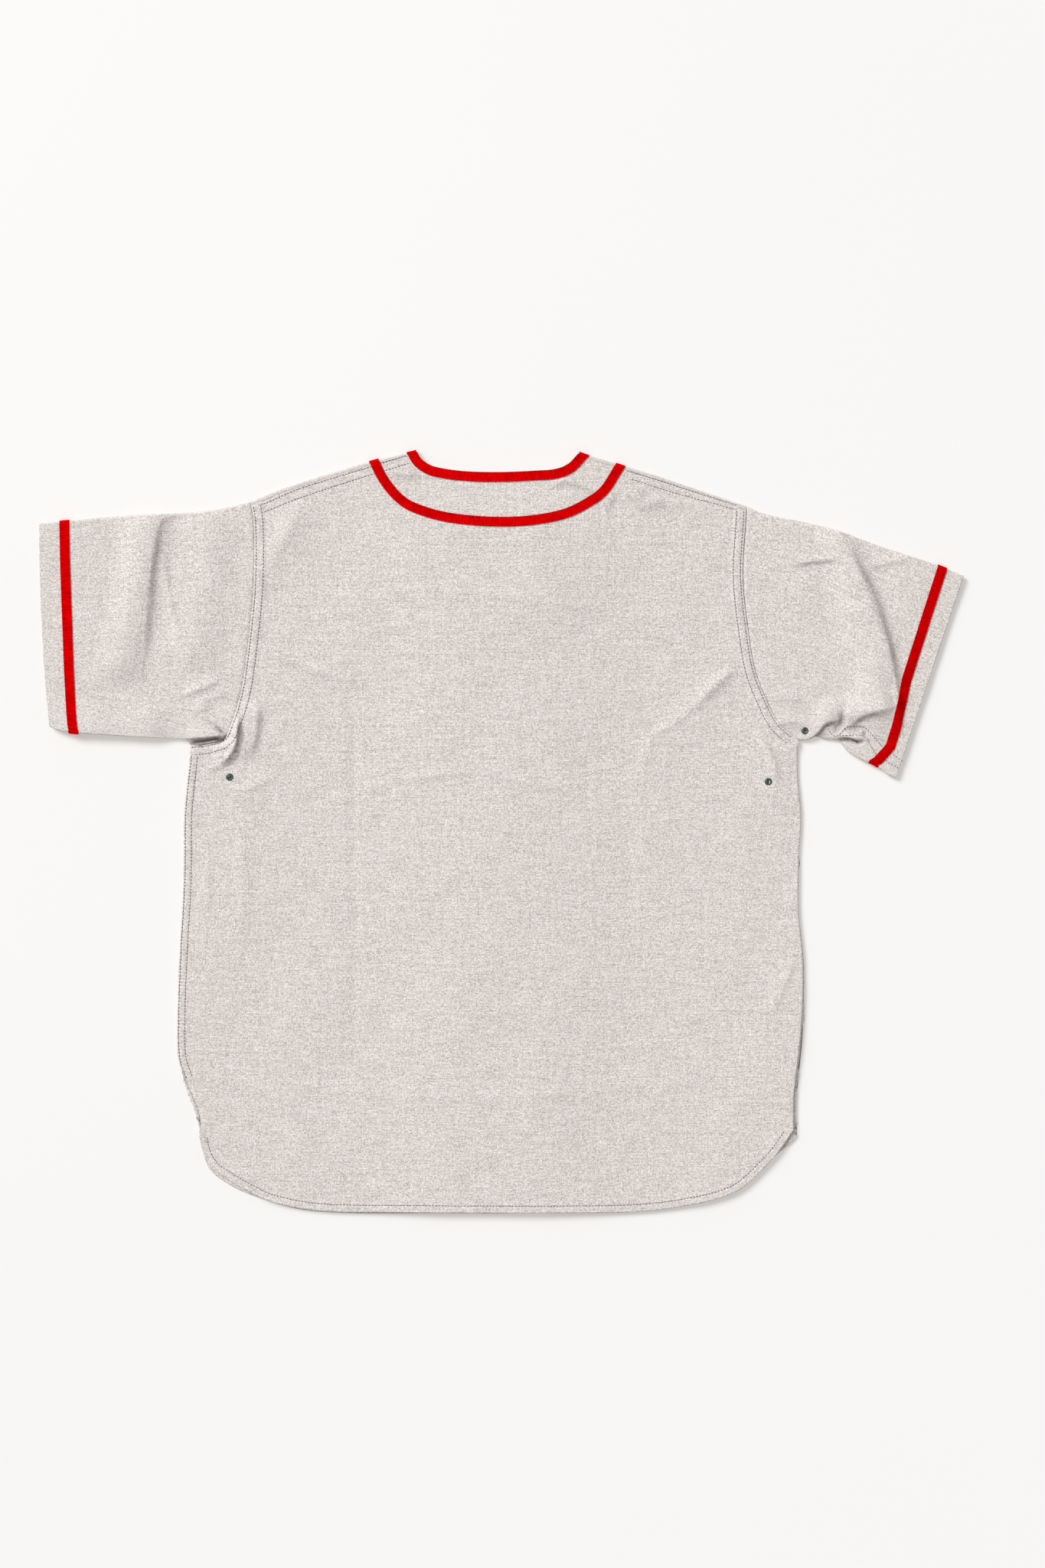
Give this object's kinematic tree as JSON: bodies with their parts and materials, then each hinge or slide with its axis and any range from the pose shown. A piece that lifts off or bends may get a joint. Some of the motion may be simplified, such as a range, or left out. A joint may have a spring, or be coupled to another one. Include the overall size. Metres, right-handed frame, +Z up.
{
  "type": "baseball jersey",
  "caption": "Button-front wool flannel baseball jersey laid out flat with its back upwards, with red braid round the neck and sleeves and a curved tail hem.",
  "frame": {"origin": "middle of the garment's outline, on the plane that it lies on", "axes": "+Z up from the plane that it lies on, with the back of the jersey upwards; +Y from the hem towards the neck; +X towards the wearer's right sleeve"},
  "size_m": [0.9, 0.744, 0.0134],
  "materials": {
    "flannel": "soft matt wool flannel",
    "red_braid": "ribbed woven braid",
    "eyelet_metal": "dark tarnished",
    "button_grey": "satin"
  },
  "bodies": {
    "root": {"back_panel": "flannel", "front_left": "flannel", "front_right": "flannel", "sleeve_left": "flannel", "sleeve_right": "flannel", "sleeve_braid_left": "red_braid", "sleeve_braid_right": "red_braid", "neck_braid_inner": "red_braid", "neck_braid_outer": "red_braid", "eyelet_body_left": "eyelet_metal", "eyelet_body_right": "eyelet_metal", "eyelet_sleeve_right": "eyelet_metal", "button_1": "button_grey", "button_2": "button_grey", "button_3": "button_grey", "button_4": "button_grey", "button_5": "button_grey", "button_6": "button_grey"}
  },
  "joints": []
}
